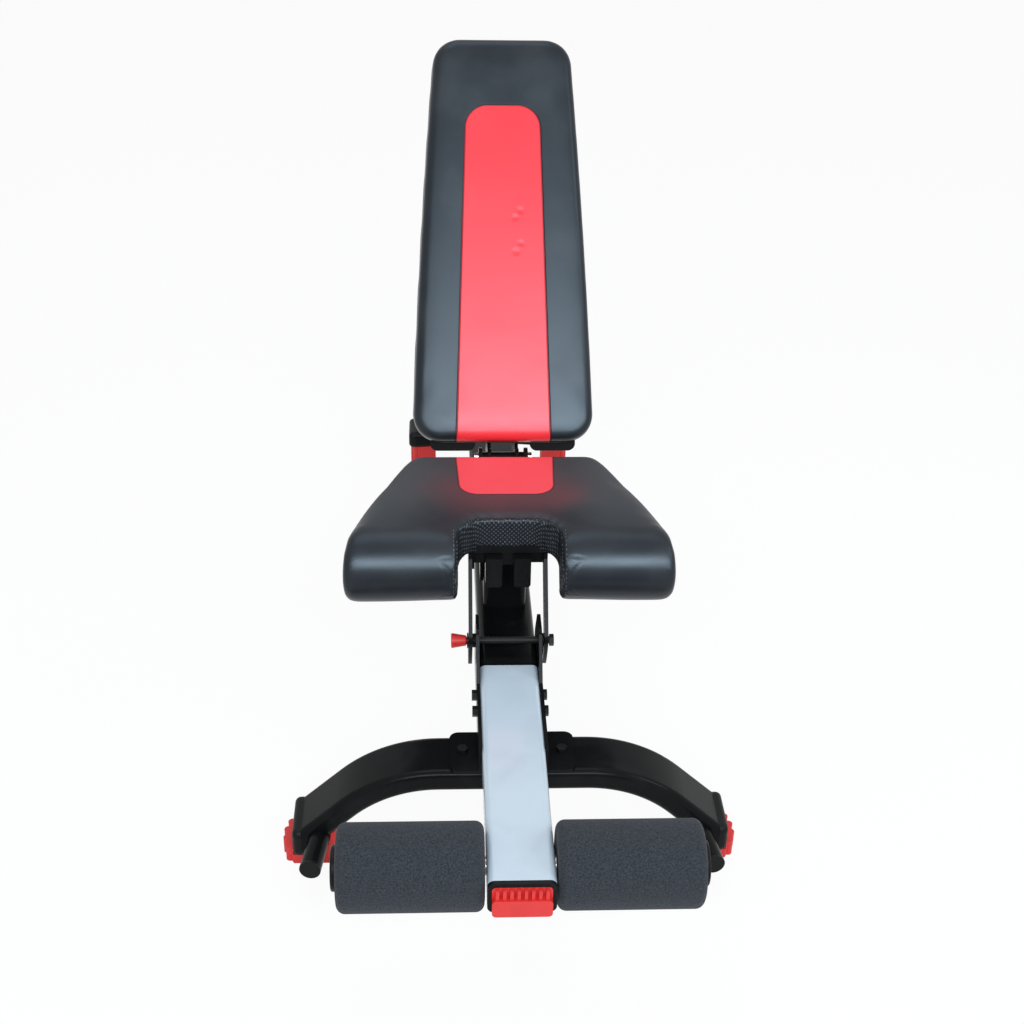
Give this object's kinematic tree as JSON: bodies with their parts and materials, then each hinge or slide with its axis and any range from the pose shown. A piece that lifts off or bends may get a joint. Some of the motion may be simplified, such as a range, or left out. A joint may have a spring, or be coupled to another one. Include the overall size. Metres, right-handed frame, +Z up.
{
  "type": "adjustable weight bench",
  "caption": "Adjustable weight bench: tapered hinged backrest, tilting notched seat, arched stabilisers and a front beam with foam foot rollers.",
  "frame": {"origin": "on the floor under the middle of the bench", "axes": "+Y from the seat end to the rear stabiliser, +Z up, +X to the right seen from the front"},
  "size_m": [0.6928, 1.575, 1.0254],
  "materials": {
    "black_paint": "satin black powder coat",
    "silver_paint": "glossy pale silver-blue paint",
    "red_rubber": "matt red moulded rubber",
    "red_plastic": "satin red moulded plastic",
    "black_plastic": "matt black moulded plastic",
    "black_vinyl": "grained black vinyl with a red centre panel",
    "foam": "matt black foam with a fine open texture",
    "plywood": "dark stained board",
    "zinc_steel": "zinc plated",
    "black_steel": "black oxide fasteners"
  },
  "bodies": {
    "frame": {"front_stabiliser": "black_paint", "rear_stabiliser": "black_paint", "peg_left": "black_paint", "peg_right": "black_paint", "side_plate_left": "black_paint", "side_plate_right": "black_paint", "rear_rail": "black_paint", "post": "black_paint", "head_plate_left": "black_paint", "head_plate_right": "black_paint", "lock_bracket": "black_paint", "lock_guide": "black_paint", "front_beam": "silver_paint", "front_foot_left": "red_rubber", "front_foot_right": "red_rubber", "rear_foot_left": "red_rubber", "rear_foot_right": "red_rubber", "beam_end_plug": "red_plastic", "front_caps": "black_plastic", "rear_caps": "black_plastic", "peg_plugs": "black_plastic", "beam_bezel": "black_plastic", "roller_caps": "black_plastic", "clamp_bushes": "black_plastic", "seat_spacers": "black_plastic", "roller_axle": "zinc_steel", "back_axle": "zinc_steel", "back_axle_nut": "zinc_steel", "flange_bolts": "black_steel", "beam_bolts": "black_steel", "rear_bolts": "black_steel", "clamp_bolt": "black_steel", "clamp_washer": "black_steel", "seat_pivot_bolts": "black_steel", "seat_pivot_nuts": "black_steel"},
    "seat": {"seat_pad": "black_vinyl", "seat_board": "plywood", "seat_arm_left": "black_paint", "seat_arm_right": "black_paint", "seat_cross_bar": "black_paint", "leg_brace_receiver": "black_paint", "seat_screws": "black_steel"},
    "back": {"back_pad": "black_vinyl", "back_board": "plywood", "back_tube": "black_paint", "back_tube_cap": "black_plastic", "back_straps": "black_paint", "back_screws": "black_steel", "back_hinge_barrel": "black_paint", "back_hinge_plate_left": "black_paint", "back_hinge_plate_right": "black_paint"},
    "clamp_knob": {"clamp_knob": "red_plastic"},
    "lock_pin": {"lock_pin": "zinc_steel", "lock_knob": "red_plastic"},
    "roller_left": {"roller_core_left": "black_plastic", "roller_foam_left": "foam"},
    "roller_right": {"roller_core_right": "black_plastic", "roller_foam_right": "foam"}
  },
  "joints": [
    {"name": "back_incline", "type": "hinge", "parent": "frame", "child": "back", "pos_m": [0, 0.0335, 0.41], "axis": [1, 0, 0], "range_deg": [-75, 25]},
    {"name": "seat_tilt", "type": "hinge", "parent": "frame", "child": "seat", "pos_m": [0, -0.0275, 0.358], "axis": [1, 0, 0], "range_deg": [-10, 0]},
    {"name": "clamp_knob_turn", "type": "hinge", "parent": "frame", "child": "clamp_knob", "pos_m": [-0.08, -0.2675, 0.253], "axis": [1, 0, 0], "range_deg": [0, 360]},
    {"name": "lock_pin_slide", "type": "slide", "parent": "frame", "child": "lock_pin", "axis": [1, 0, 0], "range_m": [0, 0.016]},
    {"name": "roller_left_spin", "type": "hinge", "parent": "frame", "child": "roller_left", "pos_m": [-0.147, -0.7165, 0.203], "axis": [1, 0, 0], "continuous": true},
    {"name": "roller_right_spin", "type": "hinge", "parent": "frame", "child": "roller_right", "pos_m": [0.147, -0.7165, 0.203], "axis": [1, 0, 0], "continuous": true}
  ]
}
